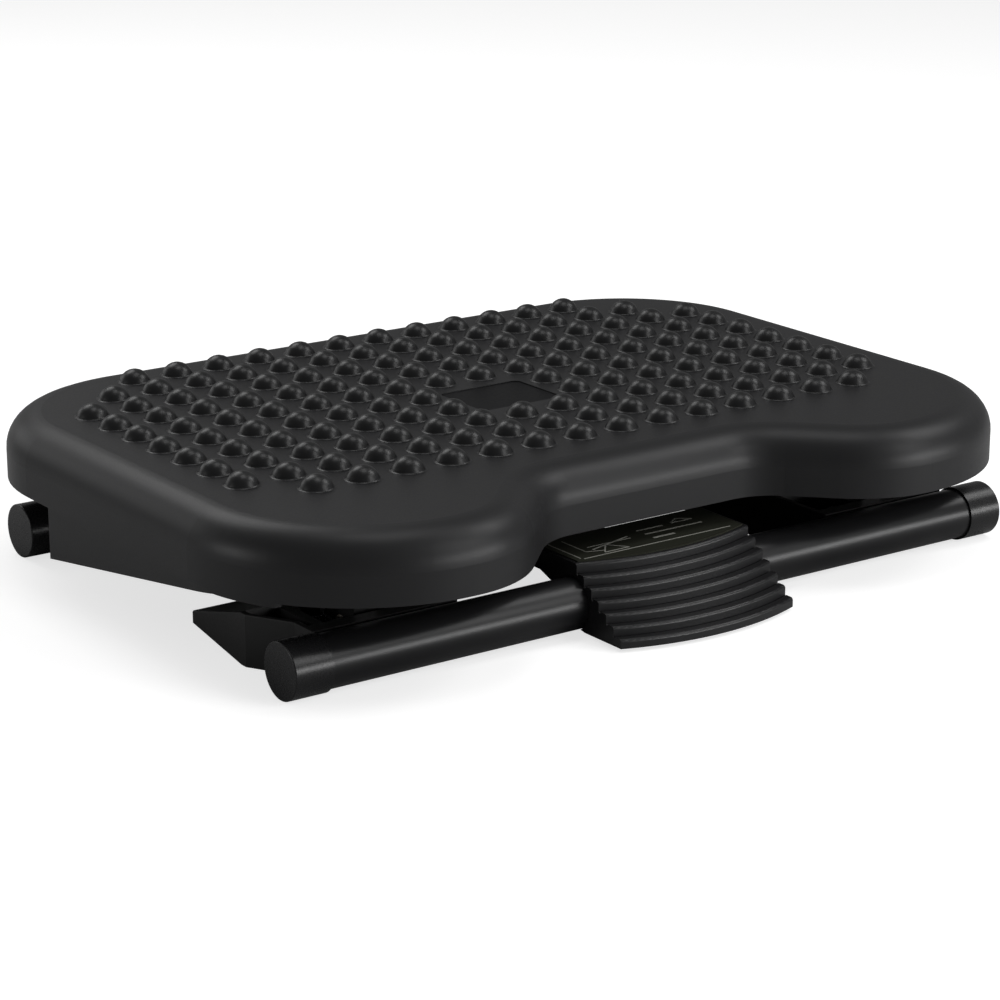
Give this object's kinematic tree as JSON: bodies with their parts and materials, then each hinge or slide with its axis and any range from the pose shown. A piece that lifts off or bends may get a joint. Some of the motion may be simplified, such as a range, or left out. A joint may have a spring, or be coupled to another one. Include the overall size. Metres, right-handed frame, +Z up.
{
  "type": "tilting under desk footrest",
  "caption": "Low footrest with a domed, lobed platform that tilts up at the rear on two floor tubes, and a ridged front pedal that locks and frees the tilt.",
  "frame": {"origin": "on the floor, under the middle of the bounding box", "axes": "+X across the footrest to the user's right, +Y away from the user, +Z up"},
  "size_m": [0.4576, 0.3432, 0.0846],
  "materials": {
    "shell_plastic": "black moulded plastic, fine satin grain",
    "dome_plastic": "black moulded plastic, smoother and glossier than the top round it",
    "badge_plastic": "bare glossy black plate",
    "structure_plastic": "black glass filled plastic",
    "cap_plastic": "black moulded plastic",
    "powder_coat": "satin black powder coat on steel",
    "bush_plastic": "natural acetal",
    "dark_rubber": "black rubber",
    "spring_steel": "oiled spring steel",
    "zinc_steel": "bright zinc plated steel"
  },
  "bodies": {
    "base": {"front_tube": "powder_coat", "rear_tube": "powder_coat", "front_left_cap": "cap_plastic", "front_right_cap": "cap_plastic", "rear_left_cap": "cap_plastic", "rear_right_cap": "cap_plastic", "left_base_arm": "structure_plastic", "right_base_arm": "structure_plastic", "lock_bracket": "powder_coat", "left_hinge_pin": "zinc_steel", "right_hinge_pin": "zinc_steel", "hinge_pin_clips": "spring_steel", "lever_pin": "zinc_steel", "brake_anvil": "dark_rubber", "anvil_pin": "zinc_steel", "left_arm_screws": "zinc_steel", "right_arm_screws": "zinc_steel", "bracket_screws": "zinc_steel", "left_lift_spring": "spring_steel", "right_lift_spring": "spring_steel", "lock_spring": "spring_steel"},
    "platform": {"platform_top": "shell_plastic", "massage_domes": "dome_plastic", "badge_plate": "badge_plastic", "inner_frame": "structure_plastic", "left_side_cheek": "shell_plastic", "right_side_cheek": "shell_plastic", "left_hinge_arm": "structure_plastic", "right_hinge_arm": "structure_plastic", "left_hinge_bush": "bush_plastic", "right_hinge_bush": "bush_plastic", "brake_sector": "zinc_steel", "left_rest_bumper": "dark_rubber", "right_rest_bumper": "dark_rubber", "frame_screws": "zinc_steel", "cheek_screws": "zinc_steel", "hinge_arm_screws": "zinc_steel", "sector_screws": "zinc_steel"},
    "pedal": {"pedal_tread": "structure_plastic", "pedal_label": "badge_plastic", "left_pedal_bush": "bush_plastic", "right_pedal_bush": "bush_plastic", "pedal_link_arm": "zinc_steel", "pedal_link_pin": "zinc_steel", "link_arm_screws": "zinc_steel"},
    "brake_lever": {"brake_lever": "zinc_steel", "brake_shoe": "dark_rubber"}
  },
  "joints": [
    {"name": "platform_tilt", "type": "hinge", "parent": "base", "child": "platform", "pos_m": [0, -0.092, 0.015], "axis": [1, 0, 0], "range_deg": [0, 16], "deforming": ["left_lift_spring", "right_lift_spring"]},
    {"name": "pedal_swing", "type": "hinge", "parent": "base", "child": "pedal", "pos_m": [0, -0.124, 0.01375], "axis": [-1, 0, 0], "range_deg": [0, 10]},
    {"name": "lever_swing", "type": "hinge", "parent": "base", "child": "brake_lever", "pos_m": [0, -0.014, 0.011], "axis": [1, 0, 0], "range_deg": [0, 4], "deforming": ["lock_spring"]}
  ],
  "couplings": [
    {"joint": "lever_swing", "follows": "pedal_swing", "ratio": 0.4}
  ]
}
